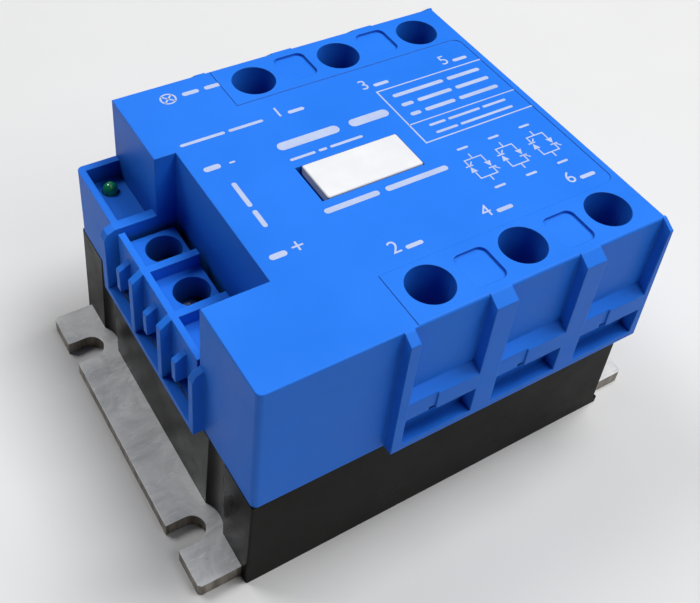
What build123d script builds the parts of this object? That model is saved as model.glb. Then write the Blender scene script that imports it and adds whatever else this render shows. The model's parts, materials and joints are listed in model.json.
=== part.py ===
from build123d import *
import os

# Three-phase solid state relay, millimetres, +Z up.
# Origin: centre of the base plate's underside. +X runs along the three phases, the control
# terminals are at -X, the T (load) terminals face -Y and the L (line) terminals face +Y.

os.makedirs("parts", exist_ok=True)

# ---------------------------------------------------------------- driving dimensions
PLATE_LENGTH = 103.0
PLATE_WIDTH = 71.0
PLATE_THICK = 3.2
NOTCH_RADIUS = 2.8          # open fixing notch, takes an M5 screw
NOTCH_INSET = 3.9           # from the plate's end to the centre of the notch's round end
NOTCH_SPACING = 48.8        # between the two notches of one end

BODY_LEFT = -42.3           # outer faces of the cover
BODY_RIGHT = 42.3
BODY_RIGHT_FOOT = 43.2      # the right end leans out a little towards its foot
BODY_WIDTH = 75.0
BODY_HEIGHT = 56.6
SPLIT_Z = 25.1              # joint between the black housing and the blue cover
WALL = 2.0
RIB_OUT = 2.3               # how far ribs and fins stand out from the walls
EDGE_SOFTEN = 0.5
CORNER_SOFTEN = 1.2

PHASE_X = (-6.2, 13.8, 33.8)
WELL_Y = 30.9
WELL_RADIUS = 4.5
WELL_TUBE_RADIUS = 6.0
CELL_HALF = 7.7             # half the clear width between two ribs
RIB_BOX_LEFT = -15.9
RIB_CHAMFER = 1.5           # drop of the ribs' sloped tops, on the T side
RIB_CHAMFER_BACK = 2.2      # and on the L side
RIB_FOOT_Z = 25.4
LEDGE_FRONT_Z = 37.9
LEDGE_BACK_Z = 39.6
WINDOW_TOP_Z = 33.6
WINDOW_FLOOR_Z = 26.9
WINDOW_DEPTH = 2.8
BAND_STEP = 0.3             # the left part of each band lies back by this much
BAND_SPLIT = 1.2            # where it ends, left of the phase's middle
BAND_NOTCH = 1.4            # width and depth of the notch under it
BAND_NOTCH_HEIGHT = 0.8

CHAMBER_HALF_X = 6.8        # power terminal chamber, under its well
CHAMBER_INNER_Y = 25.4
CHAMBER_OUTER_Y = 35.6
CHAMBER_ROOF_Z = 35.4
CHAMBER_ROOF_THICK = 1.6
HOLLOW_HALF_Y = 24.0        # of the room between the two rows of chambers
ENTRY_HALF_X = 6.4
ENTRY_SILL_Z = 29.0

RIM_Z = 42.1                # low rim round the lamp pocket and top of the control block
RIM_RIGHT = -33.8           # foot of the step up to the main top face
RECESS_RIGHT = -29.5        # inner wall of the control recess
RECESS_HALF_Y = 17.95
LAMP_X, LAMP_Y = -37.4, 32.4
LAMP_POCKET = (-40.9, -33.8, 20.1, 35.9)
LAMP_FLOOR_Z = 38.0
LAMP_RADIUS = 1.5
LAMP_COLLAR = 0.7           # upright part of the lamp above its pocket's floor, below the dome

CONTROL_X = -35.1
CONTROL_Y = (12.0, 0.0, -12.0)
CONTROL_WELL_RADIUS = 3.55
DECK_Z = 39.1
BLOCK_X = (-42.3, -30.9)
BLOCK_Y = (-16.8, 16.6)
BLOCK_LIP = 1.3             # thickness of the front wall above the deck
BLOCK_SIDE = 1.0            # of its two end walls
BLOCK_WINDOW_DEPTH = 1.9
BLOCK_WINDOW_HALF_Y = 5.2
BLOCK_ENTRY_HALF_Y = 2.6
BLOCK_CHAMBER_X = (-39.0, -31.6)
BLOCK_CHAMBER_HALF_Y = 3.5
BLOCK_CHAMBER_ROOF_Z = 33.6
FIN_THICK = 1.6
FIN_Y = (6.0, -6.0)         # fins between neighbouring control terminals
BAY_FIN_THICK = 2.1
BAY_FIN_SLOPE = (2.2, 0.8)  # where each end fin's nose starts and bends, below the rim
BAY_FIN_BEND = 0.7
BAY_SILL_INSET = 0.3        # of the sill's inner face from the cover's end face
FIN_SLOPE = 1.8             # drop of a fin's nose, over its reach
HALF_FIN_SLOPE = 1.3
CONTACT_SLOT_HALF_Y = 1.5
HALF_FIN_THICK = 1.4
HALF_FIN_FOOT_Z = 32.6

TAG_SIZE = (21.0, 9.6, 1.8)
TAG_SEAT_DEPTH = 1.5        # of the tag's seat below the label field
TAG_FINGER_GAP = 1.3        # beside the tag's left end
TAG_CORNER, TAG_BEVEL = 0.4, 0.2
TAG_X, TAG_Y = -0.1, -0.5
LABEL_FIELD_DEPTH = 0.15
LABEL_LEFT, LABEL_RIGHT, LABEL_HALF_Y = -12.9, 40.7, 25.3
LABEL_CORNER = 2.0
LABEL_OVERLAP = 10.0        # how far the narrow part runs into the full-width part
MARKER_SIZE = (7.0, 8.0, 0.6)
MARKER_CORNER = 1.6
MARKER_Y = -31.5

# power terminal stack, from the housing's pads upwards
PAD_TOP_Z = 27.0
BAR_THICK = 1.6
BAR_TOP_Z = PAD_TOP_Z + BAR_THICK
CLAMP_SIZE = (12.0, 8.0, 1.5)
POWER_THREAD = 5.0
POWER_HEAD_RADIUS = 4.2
POWER_HEAD_HEIGHT = 3.3
POWER_SHANK = 11.5
POWER_SLOT = 1.2

# control terminal stack
CONTROL_PAD_Z = 27.6
CONTACT_THICK = 0.8
CONTACT_TOP_Z = CONTROL_PAD_Z + CONTACT_THICK
CONTROL_CLAMP_SIZE = (6.2, 5.6, 1.0)
CONTROL_THREAD = 3.0
CONTROL_HEAD_RADIUS = 2.75
CONTROL_HEAD_HEIGHT = 4.6
CONTROL_SHANK = 7.0
CONTROL_SLOT = 0.8

THREAD_CLEARANCE = 0.05     # radial, screw in nut
FREE_CLEARANCE = 0.3        # radial, screw in a plain hole
CUT_OVER = 1.0              # how far a cutting tool runs past the face it cuts
SEAT_GAP = 0.1              # between mouldings that nest

BOARD_Z = 16.0
BOARD_THICK = 1.6
SUBSTRATE_SIZE = (11.4, 38.0, 1.2)
DIE_SIZE = (9.0, 9.0, 0.5)
DIE_Y = 8.5
BAR_WIDTH = 11.0
BAR_RISE_Y = 21.6           # centre of each bar's upright
BAR_FOOT_Y = 15.2           # inner end of each bar's foot
GEL_LEFT, GEL_HALF_Y, GEL_DEPTH = -15.6, 23.4, 5.0

HALF_WIDTH = BODY_WIDTH / 2
TAG_SEAT_Z = BODY_HEIGHT - LABEL_FIELD_DEPTH - TAG_SEAT_DEPTH
SIDES = {"T": -1, "L": 1}
PHASES = ("1", "2", "3")


# ---------------------------------------------------------------- small shape helpers
def block(x0, x1, y0, y1, z0, z1):
    """Box given by its two limits on each axis, in either order."""
    centre = Pos((x0 + x1) / 2, (y0 + y1) / 2, (z0 + z1) / 2)
    return centre * Box(abs(x1 - x0), abs(y1 - y0), abs(z1 - z0))


def slab(x, y, half_x, half_y, z0, z1):
    """Box centred on (x, y) between two heights."""
    return block(x - half_x, x + half_x, y - half_y, y + half_y, z0, z1)


def rod(x, y, z0, z1, radius):
    """Upright cylinder between two heights."""
    return Pos(x, y, (z0 + z1) / 2) * Cylinder(radius, z1 - z0)


def prism_x(profile, x0, x1):
    """Profile of (y, z) points, pushed from x0 to x1."""
    face = Plane.YZ * Polygon(*profile, align=None)
    return Pos(x0, 0, 0) * extrude(face, x1 - x0, dir=(1, 0, 0))


def prism_y(profile, y0, y1):
    """Profile of (x, z) points, pushed from y0 to y1."""
    face = Plane.XZ * Polygon(*profile, align=None)
    return Pos(0, y0, 0) * extrude(face, y1 - y0, dir=(0, 1, 0))


def rounded_plate(width, depth, z0, z1, radius, x=0.0, y=0.0):
    """Flat plate with round corners."""
    face = Pos(x, y, z0) * RectangleRounded(width, depth, radius)
    return extrude(face, z1 - z0)


def hexagon(x, y, z0, z1, across_flats):
    """Upright hexagonal prism."""
    face = Pos(x, y, z0) * RegularPolygon(across_flats / 2, 6, major_radius=False)
    return extrude(face, z1 - z0)


def cross_recess(x, y, z0, z1, reach, half_width):
    """Crossed slots for a driver."""
    return slab(x, y, reach, half_width, z0, z1) + slab(x, y, half_width, reach, z0, z1)


def both_sides(solid):
    """A solid and its mirror image on the other side of the XZ plane."""
    return [solid, mirror(solid, about=Plane.XZ)]


def save(name, *solids):
    """Write one node; several solids are one group of separate pieces."""
    shape = solids[0] if len(solids) == 1 else Compound(children=list(solids))
    export_step(shape, f"parts/{name}.step")


# ---------------------------------------------------------------- base plate
NOTCH_X = PLATE_LENGTH / 2 - NOTCH_INSET
NOTCH_Y = NOTCH_SPACING / 2
PLATE_CORNER = 0.6
BASE_SCREW_XY = (31.0, 30.0)
SINK_GAP = 0.15
SINK_DEPTH = 1.8
BASE_SCREW_RADIUS = 1.5
BASE_SCREW_HEAD_RADIUS = 2.8
BASE_SCREW_HEAD_DEPTH = 1.4
BASE_SCREW_TOP_Z = 9.0
BASE_SCREW_BOSS_RADIUS = 3.6


def corners(x, y):
    """The four points mirrored about both centre lines."""
    return [(sx * x, sy * y) for sx in (-1, 1) for sy in (-1, 1)]


def base_plate():
    top = PLATE_THICK + CUT_OVER
    plate = slab(0, 0, PLATE_LENGTH / 2, PLATE_WIDTH / 2, 0, PLATE_THICK)
    plate = chamfer(plate.edges().filter_by(Axis.Z), PLATE_CORNER)
    for x, y in corners(NOTCH_X, NOTCH_Y):
        outer_x = x / abs(x) * (PLATE_LENGTH / 2 + CUT_OVER)
        plate -= rod(x, y, -CUT_OVER, top, NOTCH_RADIUS)
        plate -= block(x, outer_x, y - NOTCH_RADIUS, y + NOTCH_RADIUS, -CUT_OVER, top)
    for x, y in corners(*BASE_SCREW_XY):
        plate -= rod(x, y, -CUT_OVER, top, BASE_SCREW_RADIUS + SEAT_GAP)
        sink = Cone(BASE_SCREW_HEAD_RADIUS + SINK_GAP, BASE_SCREW_RADIUS + SINK_GAP, SINK_DEPTH)
        plate -= Pos(x, y, SINK_DEPTH / 2) * sink
    return plate


def base_screws():
    """Countersunk screws from below, their heads just under the plate's underside."""
    sunk = 0.1
    screws = []
    for x, y in corners(*BASE_SCREW_XY):
        cone = Cone(BASE_SCREW_HEAD_RADIUS - sunk, BASE_SCREW_RADIUS, BASE_SCREW_HEAD_DEPTH)
        head = Pos(x, y, sunk + BASE_SCREW_HEAD_DEPTH / 2) * cone
        shank = rod(x, y, 0.5, BASE_SCREW_TOP_Z, BASE_SCREW_RADIUS)
        screws.append(head + shank - cross_recess(x, y, 0, 0.8, 1.4, 0.3))
    return screws


# ---------------------------------------------------------------- black lower housing
HOUSING_LEFT = (-42.9, -42.4)     # at the foot, at the top
HOUSING_RIGHT = (41.9, 41.5)
HOUSING_FOOT = (42.9, 1.8)        # reach and height of the small foot at the right end
HOUSING_WALL = 2.3
HOUSING_CORNER = 0.4                # round of its two corners at the left end
INNER_LEFT, INNER_RIGHT = -40.0, 39.7
GROOVE_RADIUS = 6.0
PLATFORM_INNER_Y = 24.0
PLATFORM_UNDER_Z = 12.0
PLATFORM_LEFT = -14.4
PAD_GAP = 0.2                       # between a raised pad and the chamber round it
CONTROL_PLATFORM_UNDER_Z = 19.6
MERGE = 0.5                         # how far joined bodies run into each other
NUT_FLATS = 8.0
NUT_HEIGHT = 4.0
CONTROL_NUT_FLATS = 5.5
CONTROL_NUT_HEIGHT = 2.4
POWER_NUT_TAIL = 6.0                # depth of the hole below each nut, for the screw's end
CONTROL_NUT_TAIL = 4.0
LATCH_X = -27.0
LATCH_HALF_WIDTH = 4.0
LATCH_FOOT_Z = 17.5
LATCH_HOOK_HEIGHT = 1.8
LATCH_THICK = 1.6
LATCH_HOOK_REACH = 0.7              # past the inside of the housing's wall
LATCH_GAP = 0.4                     # round the hook in its pocket
LATCH_POCKET_DEPTH = 1.0
LATCH_ARM_Z = (26.1, 30.1)          # of the arm that joins the tongue to the cover's wall
POWER_PAD_HALF_X = 6.5
CONTROL_PAD = (-38.8, -31.8, 3.3)   # limits along X, half width along Y
BOARD_SHELF = (34.6, 6.0, 5.0)      # where it starts, half width and depth, at the right end
PIN_OFFSET = 3.9                    # gate pins, to each side of their phase's middle
PIN_RADIUS = 0.4
PIN_HOLE_GAP = 0.05
CONTACT_PIN_X = (-28.2, -27.4)
CONTACT_PIN_HALF_Y = 0.6
LEAD_END = 0.8                      # of pins and leads, below the circuit board
LAMP_LEAD_OFFSET = 1.27
LAMP_LEAD_HALF = 0.25
LAMP_FLANGE = 1.0


def nut_pocket(x, y, floor_z, top_z, flats, thread, tail):
    """Hexagonal seat for a captive nut, with a plain hole below for the screw's end."""
    seat = hexagon(x, y, floor_z, top_z + CUT_OVER, flats + 2 * SEAT_GAP)
    return seat + rod(x, y, floor_z - tail, floor_z + CUT_OVER, thread / 2 + FREE_CLEARANCE)


def housing():
    foot_left, top_left = HOUSING_LEFT
    foot_right, top_right = HOUSING_RIGHT
    outline = [(foot_left, 0), (foot_right, 0), (top_right, SPLIT_Z), (top_left, SPLIT_Z)]
    shell = prism_y(outline, -HALF_WIDTH, HALF_WIDTH)
    shell = fillet(shell.edges().filter_by(Axis.Z, tolerance=5).sort_by(Axis.X)[:2], HOUSING_CORNER)
    reach, height = HOUSING_FOOT
    shell += block(foot_right - CUT_OVER, reach, -HALF_WIDTH, HALF_WIDTH, 0, height)
    inner_y = HALF_WIDTH - HOUSING_WALL
    shell -= block(INNER_LEFT, INNER_RIGHT, -inner_y, inner_y, -CUT_OVER, SPLIT_Z + CUT_OVER)

    # power terminal platforms along front and back, with one raised pad for each phase
    for side in (-1, 1):
        near, far = side * PLATFORM_INNER_Y, side * (inner_y + MERGE)
        shell += block(PLATFORM_LEFT, INNER_RIGHT + MERGE, near, far, PLATFORM_UNDER_Z, SPLIT_Z)
        for x in PHASE_X:
            near, far = side * (CHAMBER_INNER_Y + PAD_GAP), side * (CHAMBER_OUTER_Y - PAD_GAP)
            shell += block(x - POWER_PAD_HALF_X, x + POWER_PAD_HALF_X, near, far, SPLIT_Z - MERGE, PAD_TOP_Z)
            nut_floor = PAD_TOP_Z - NUT_HEIGHT - SEAT_GAP
            shell -= nut_pocket(x, side * WELL_Y, nut_floor, PAD_TOP_Z,
                                NUT_FLATS, POWER_THREAD, POWER_NUT_TAIL)

    # control terminal platform
    low_y, high_y = BLOCK_Y
    shell += block(INNER_LEFT - MERGE, BLOCK_X[1] + MERGE, low_y, high_y, CONTROL_PLATFORM_UNDER_Z, SPLIT_Z)
    pad_left, pad_right, pad_half = CONTROL_PAD
    for y in CONTROL_Y:
        shell += block(pad_left, pad_right, y - pad_half, y + pad_half, SPLIT_Z - MERGE, CONTROL_PAD_Z)
        nut_floor = CONTROL_PAD_Z - CONTROL_NUT_HEIGHT - SEAT_GAP
        shell -= nut_pocket(CONTROL_X, y, nut_floor, CONTROL_PAD_Z,
                            CONTROL_NUT_FLATS, CONTROL_THREAD, CONTROL_NUT_TAIL)

    # screw bosses in the corners, which also carry the circuit board at the left end
    boss_x, boss_y = BASE_SCREW_XY
    for x, y in corners(boss_x, boss_y):
        radius = BASE_SCREW_BOSS_RADIUS
        shell += rod(x, y, PLATE_THICK, BOARD_Z, radius)
        outer_y = y / abs(y) * (inner_y + MERGE)
        shell += block(x - radius, x + radius, y, outer_y, PLATE_THICK, BOARD_Z)
        shell -= rod(x, y, PLATE_THICK - CUT_OVER, BASE_SCREW_TOP_Z + SEAT_GAP, BASE_SCREW_RADIUS)
    shelf_left, shelf_half, shelf_depth = BOARD_SHELF
    shell += block(shelf_left, INNER_RIGHT + MERGE, -shelf_half, shelf_half, BOARD_Z - shelf_depth, BOARD_Z)
    for x, y in BOARD_SCREWS:
        shell -= rod(x, y, BOARD_Z - shelf_depth - SEAT_GAP, BOARD_Z + CUT_OVER, BOARD_SCREW_RADIUS)

    # half-round grooves above the fixing notches, and the gap the plate passes through
    for x, y in corners(NOTCH_X, NOTCH_Y):
        shell -= rod(x, y, -CUT_OVER, SPLIT_Z + CUT_OVER, GROOVE_RADIUS)
    half_plate = PLATE_WIDTH / 2 + SEAT_GAP
    shell -= slab(0, 0, PLATE_LENGTH / 2, half_plate, -CUT_OVER, PLATE_THICK)

    # shallow pockets that hold the cover's latch hooks
    reach = LATCH_HALF_WIDTH + LATCH_GAP
    pocket_low, pocket_top = LATCH_FOOT_Z - LATCH_GAP, LATCH_FOOT_Z + LATCH_HOOK_HEIGHT + LATCH_GAP
    for side in (-1, 1):
        near, far = side * (inner_y - MERGE), side * (inner_y + LATCH_POCKET_DEPTH)
        shell -= block(LATCH_X - reach, LATCH_X + reach, near, far, pocket_low, pocket_top)
    return shell


# ---------------------------------------------------------------- blue cover
def envelope():
    """Everything the cover may fill; its right end leans out towards the foot."""
    reach = HALF_WIDTH + RIB_OUT
    outline = [(BODY_LEFT - RIB_OUT, SPLIT_Z), (BODY_RIGHT_FOOT, SPLIT_Z),
               (BODY_RIGHT, BODY_HEIGHT), (BODY_LEFT - RIB_OUT, BODY_HEIGHT)]
    return prism_y(outline, -reach, reach)


def terminal_front(rib_drop):
    """Ribs, sloped ledges, bands and sills in front of the three T terminals."""
    wall_y = -HALF_WIDTH + MERGE
    front_y = -HALF_WIDTH - RIB_OUT
    rib_profile = [(wall_y, RIB_FOOT_Z), (front_y, RIB_FOOT_Z), (front_y, BODY_HEIGHT - rib_drop),
                   (-HALF_WIDTH, BODY_HEIGHT), (wall_y, BODY_HEIGHT)]
    infill_profile = [(wall_y, RIB_FOOT_Z), (front_y, RIB_FOOT_Z), (front_y, LEDGE_FRONT_Z),
                      (-HALF_WIDTH, LEDGE_BACK_Z), (wall_y, LEDGE_BACK_Z)]
    edges = [RIB_BOX_LEFT]
    for x in PHASE_X:
        edges += [x - CELL_HALF, x + CELL_HALF]
    edges.append(BODY_RIGHT_FOOT + CUT_OVER)
    ribs = [prism_x(rib_profile, edges[i], edges[i + 1]) for i in range(0, len(edges), 2)]
    front = ribs[0]
    for rib in ribs[1:]:
        front += rib
    for x in PHASE_X:
        front += prism_x(infill_profile, x - CELL_HALF, x + CELL_HALF)
    return front


def terminal_cuts():
    """Wells, windows, wire entries and chambers of the three T terminals."""
    front_y = -HALF_WIDTH - RIB_OUT
    back_y = front_y + WINDOW_DEPTH
    outside_y = front_y - CUT_OVER
    under_z = SPLIT_Z - CUT_OVER
    bar_slot = BAR_WIDTH / 2 + FREE_CLEARANCE
    cuts = []
    for x in PHASE_X:
        cuts += [
            # window between two ribs
            block(x - CELL_HALF, x + CELL_HALF, outside_y, back_y, WINDOW_FLOOR_Z, WINDOW_TOP_Z),
            # the band's left half, which lies back, and the small notch at its lower right corner
            block(x - CELL_HALF, x - BAND_SPLIT, outside_y, front_y + BAND_STEP,
                  WINDOW_TOP_Z - CUT_OVER, LEDGE_FRONT_Z + CUT_OVER),
            block(x - BAND_SPLIT - BAND_NOTCH, x - BAND_SPLIT, outside_y, front_y + BAND_NOTCH,
                  WINDOW_TOP_Z - CUT_OVER, WINDOW_TOP_Z + BAND_NOTCH_HEIGHT),
            # wire entry, terminal chamber and the slot the terminal bar comes in through
            block(x - ENTRY_HALF_X, x + ENTRY_HALF_X, back_y - CUT_OVER, CUT_OVER - CHAMBER_OUTER_Y,
                  ENTRY_SILL_Z, WINDOW_TOP_Z),
            block(x - CHAMBER_HALF_X, x + CHAMBER_HALF_X, -CHAMBER_OUTER_Y, -CHAMBER_INNER_Y,
                  under_z, CHAMBER_ROOF_Z),
            block(x - bar_slot, x + bar_slot, -CHAMBER_INNER_Y - CUT_OVER, -HOLLOW_HALF_Y + MERGE,
                  under_z, BAR_TOP_Z + FREE_CLEARANCE),
            rod(x, -WELL_Y, CHAMBER_ROOF_Z - CUT_OVER, BODY_HEIGHT + CUT_OVER, WELL_RADIUS),
        ]
    return cuts


def inner_hollow():
    """The room inside the cover, with the well tubes left standing."""
    roof = BODY_HEIGHT - WALL
    floor = SPLIT_Z - CUT_OVER
    inner_y = HALF_WIDTH - WALL
    left, right = RECESS_RIGHT + WALL, BODY_RIGHT - WALL
    hollow = block(left, right, -HOLLOW_HALF_Y, HOLLOW_HALF_Y, floor, roof)
    hollow += block(left, right, -inner_y, inner_y, CHAMBER_ROOF_Z + CHAMBER_ROOF_THICK, roof)
    hollow += block(left, RIB_BOX_LEFT, -inner_y, inner_y, floor, roof)
    for x in PHASE_X:
        for side in (-1, 1):
            hollow -= rod(x, side * WELL_Y, CHAMBER_ROOF_Z, BODY_HEIGHT, WELL_TUBE_RADIUS)
    # rooms beside the control recess: the corner towards -Y, and under the lamp pocket
    beside = RECESS_HALF_Y + WALL
    into = left + CUT_OVER
    hollow += block(BODY_LEFT + WALL, into, -inner_y, -beside, floor, roof)
    hollow += block(BODY_LEFT + WALL, into, beside, inner_y, floor, LAMP_FLOOR_Z - WALL)
    hollow += block(RIM_RIGHT + WALL, into, beside, inner_y, floor, roof)
    return hollow


def marker_dips():
    """Shallow rounded dips between neighbouring wells."""
    length, width, depth = MARKER_SIZE
    bottom, top = BODY_HEIGHT - depth, BODY_HEIGHT + CUT_OVER
    return [rounded_plate(length, width, bottom, top, MARKER_CORNER, (left + right) / 2, MARKER_Y)
            for left, right in zip(PHASE_X, PHASE_X[1:])]


def label_field():
    """Very shallow field that leaves the terminal areas and the right edge standing."""
    z0, z1 = BODY_HEIGHT - LABEL_FIELD_DEPTH, BODY_HEIGHT + CUT_OVER
    start = LABEL_LEFT - LABEL_OVERLAP
    middle = (start + LABEL_RIGHT) / 2
    field = rounded_plate(LABEL_RIGHT - start, 2 * LABEL_HALF_Y, z0, z1, LABEL_CORNER, middle)
    reach = HALF_WIDTH + CUT_OVER
    return field + block(BODY_LEFT - CUT_OVER, LABEL_LEFT, -reach, reach, z0, z1)


def cover():
    outline = [(BODY_LEFT, SPLIT_Z), (BODY_RIGHT_FOOT, SPLIT_Z),
               (BODY_RIGHT, BODY_HEIGHT), (BODY_LEFT, BODY_HEIGHT)]
    shell = prism_y(outline, -HALF_WIDTH, HALF_WIDTH)
    shell = fillet(shell.edges().filter_by(Axis.Z, tolerance=5).sort_by(Axis.X)[:2], CORNER_SOFTEN)
    shell = fillet(shell.faces().sort_by(Axis.Z)[-1].edges(), EDGE_SOFTEN)
    shell += terminal_front(RIB_CHAMFER)
    shell += mirror(terminal_front(RIB_CHAMFER_BACK), about=Plane.XZ)
    shell &= envelope()

    # low rim at the lamp end, and the recess the control block stands in
    outside_x, outside_y = BODY_LEFT - RIB_OUT - CUT_OVER, HALF_WIDTH + RIB_OUT + CUT_OVER
    under_z, above_z = SPLIT_Z - CUT_OVER, BODY_HEIGHT + CUT_OVER
    shell -= block(outside_x, RIM_RIGHT, RECESS_HALF_Y - CUT_OVER, outside_y, RIM_Z, above_z)
    shell -= block(outside_x, RECESS_RIGHT, -RECESS_HALF_Y, RECESS_HALF_Y, under_z, above_z)
    shell -= inner_hollow()
    shell += bay_fins()

    # slots in the recess wall for the control contacts
    for y in CONTROL_Y:
        shell -= block(RECESS_RIGHT - CUT_OVER, RECESS_RIGHT + WALL + CUT_OVER, y - CONTACT_SLOT_HALF_Y,
                       y + CONTACT_SLOT_HALF_Y, under_z, CONTACT_TOP_Z + FREE_CLEARANCE)

    # lamp pocket and the hole for the lamp
    x0, x1, y0, y1 = LAMP_POCKET
    shell -= block(x0, x1, y0, y1, LAMP_FLOOR_Z, RIM_Z + CUT_OVER)
    shell -= rod(LAMP_X, LAMP_Y, LAMP_FLOOR_Z - WALL - CUT_OVER, LAMP_FLOOR_Z + CUT_OVER,
                 LAMP_RADIUS + SINK_GAP)

    for cut in terminal_cuts() + marker_dips():
        for piece in both_sides(cut):
            shell -= piece
    shell -= label_field()

    # seat of the marker tag, with a slot through the roof at its left end to push it out by
    length, width, _ = TAG_SIZE
    left, right = TAG_X - length / 2, TAG_X + length / 2 + SINK_GAP
    half = width / 2 + SINK_GAP
    shell -= block(left - MERGE, right, TAG_Y - half, TAG_Y + half, TAG_SEAT_Z, above_z)
    shell -= block(left - TAG_FINGER_GAP, left, TAG_Y - half, TAG_Y + half,
                   BODY_HEIGHT - WALL - CUT_OVER, above_z)

    for side in (-1, 1):
        shell += latch(side)
    return shell


def bay_fins():
    """End fins of the control bay and the sill between them."""
    front_x = BODY_LEFT - RIB_OUT
    root_x = BODY_LEFT + MERGE
    low, high = BAY_FIN_SLOPE
    fin = [(root_x, RIB_FOOT_Z), (front_x, RIB_FOOT_Z), (front_x, RIM_Z - low),
           (front_x + BAY_FIN_BEND, RIM_Z - high), (BODY_LEFT, RIM_Z), (root_x, RIM_Z)]
    fins = prism_y(fin, RECESS_HALF_Y, RECESS_HALF_Y + BAY_FIN_THICK)
    fins += prism_y(fin, -RECESS_HALF_Y - FIN_THICK, -RECESS_HALF_Y)
    reach = RECESS_HALF_Y + MERGE
    return fins + block(front_x, BODY_LEFT - BAY_SILL_INSET, -reach, reach, RIB_FOOT_Z, WINDOW_FLOOR_Z)


def latch(side):
    """Latch tongue that reaches down inside one of the housing's long walls, with its hook."""
    left, right = LATCH_X - LATCH_HALF_WIDTH, LATCH_X + LATCH_HALF_WIDTH
    wall_y = HALF_WIDTH - HOUSING_WALL
    face, tip = wall_y - SINK_GAP, wall_y + LATCH_HOOK_REACH
    back, root = face - LATCH_THICK, face - LATCH_THICK / 2
    hook_top = LATCH_FOOT_Z + LATCH_HOOK_HEIGHT
    hook = [(side * root, LATCH_FOOT_Z), (side * face, LATCH_FOOT_Z),
            (side * tip, hook_top), (side * root, hook_top)]
    arm_low, arm_high = LATCH_ARM_Z
    tongue = block(left, right, side * back, side * face, LATCH_FOOT_Z, arm_high)
    tongue += prism_x(hook, left, right)
    return tongue + block(left, right, side * back, side * (HALF_WIDTH - MERGE), arm_low, arm_high)


def marker_tag():
    """White clip-in marker plate, standing just proud of the label field."""
    length, width, thick = TAG_SIZE
    tag = slab(TAG_X, TAG_Y, length / 2, width / 2, TAG_SEAT_Z, TAG_SEAT_Z + thick)
    tag = fillet(tag.edges().filter_by(Axis.Z), TAG_CORNER)
    return chamfer(tag.faces().sort_by(Axis.Z)[-1].edges(), TAG_BEVEL)


# ---------------------------------------------------------------- control terminal block
def control_block():
    """Blue moulding of the three control terminals, standing in the recess of the cover."""
    x0, x1 = BLOCK_X
    y0, y1 = BLOCK_Y
    pad_left, _, _ = CONTROL_PAD
    body = block(x0, x1, y0, y1, SPLIT_Z, DECK_Z)
    body += block(x0, x0 + BLOCK_LIP, y0, y1, DECK_Z - MERGE, RIM_Z)
    front_x = x0 - RIB_OUT
    root_x = x0 + CUT_OVER
    foot_z = WINDOW_FLOOR_Z + SINK_GAP
    fin = [(root_x, foot_z), (front_x, foot_z), (front_x, RIM_Z - FIN_SLOPE), (x0, RIM_Z), (root_x, RIM_Z)]
    half_fin = [(root_x, HALF_FIN_FOOT_Z), (front_x, HALF_FIN_FOOT_Z), (front_x, DECK_Z - HALF_FIN_SLOPE),
                (x0, DECK_Z), (root_x, DECK_Z)]
    for y in FIN_Y:
        low, high = y - FIN_THICK / 2, y + FIN_THICK / 2
        body += block(x0, x1, low, high, DECK_Z - MERGE, RIM_Z) + prism_y(fin, low, high)
    for y in CONTROL_Y:
        body += prism_y(half_fin, y - HALF_FIN_THICK / 2, y + HALF_FIN_THICK / 2)
    under_z, slot_top = SPLIT_Z - CUT_OVER, CONTACT_TOP_Z + FREE_CLEARANCE
    for y in CONTROL_Y:
        low = max(y - BLOCK_WINDOW_HALF_Y, y0 + BLOCK_SIDE)
        high = min(y + BLOCK_WINDOW_HALF_Y, y1 - BLOCK_SIDE)
        body -= block(x0 - CUT_OVER, x0 + BLOCK_WINDOW_DEPTH, low, high, WINDOW_FLOOR_Z, HALF_FIN_FOOT_Z)
        body -= block(x0, pad_left + CUT_OVER, y - BLOCK_ENTRY_HALF_Y, y + BLOCK_ENTRY_HALF_Y,
                      CONTACT_TOP_Z, HALF_FIN_FOOT_Z)
        body -= block(BLOCK_CHAMBER_X[0], BLOCK_CHAMBER_X[1], y - BLOCK_CHAMBER_HALF_Y,
                      y + BLOCK_CHAMBER_HALF_Y, under_z, BLOCK_CHAMBER_ROOF_Z)
        body -= block(BLOCK_CHAMBER_X[1] - CUT_OVER, x1 + CUT_OVER, y - CONTACT_SLOT_HALF_Y,
                      y + CONTACT_SLOT_HALF_Y, under_z, slot_top)
        body -= rod(CONTROL_X, y, BLOCK_CHAMBER_ROOF_Z - SEAT_GAP, DECK_Z + CUT_OVER, CONTROL_WELL_RADIUS)
    return body


# ---------------------------------------------------------------- screws, clamps and nuts
def screw(x, y, seat_z, thread, head_radius, head_height, shank, slot_width):
    """Cheese-head screw with a combined slot and cross recess, its tip chamfered."""
    head = rod(x, y, seat_z, seat_z + head_height, head_radius)
    head = fillet(head.faces().sort_by(Axis.Z)[-1].edges(), head_height * 0.18)
    radius = thread / 2 - THREAD_CLEARANCE
    stem = rod(x, y, seat_z - shank, seat_z, radius)
    stem = chamfer(stem.faces().sort_by(Axis.Z)[0].edges(), thread * 0.12)
    slot_floor = seat_z + head_height * 0.5
    top = seat_z + head_height + 1
    half = slot_width / 2
    slot = slab(x, y, head_radius + CUT_OVER, half, slot_floor, top)
    cross = slab(x, y, half, head_radius * 0.5, slot_floor - head_height * 0.1, top)
    return head + stem - slot - cross


def clamp_plate(x, y, z, width, depth, thick, hole_radius):
    """Captive pressure plate with two grip grooves in its underside, across the wire."""
    plate = rounded_plate(width, depth, z, z + thick, 0.8, x, y)
    plate -= rod(x, y, z - CUT_OVER, z + thick + CUT_OVER, hole_radius)
    for shift in (-0.3, 0.3):
        plate -= Pos(x + shift * width, y, z) * Rot(0, 45, 0) * Box(0.5, depth + 2, 0.5)
    return plate


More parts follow.
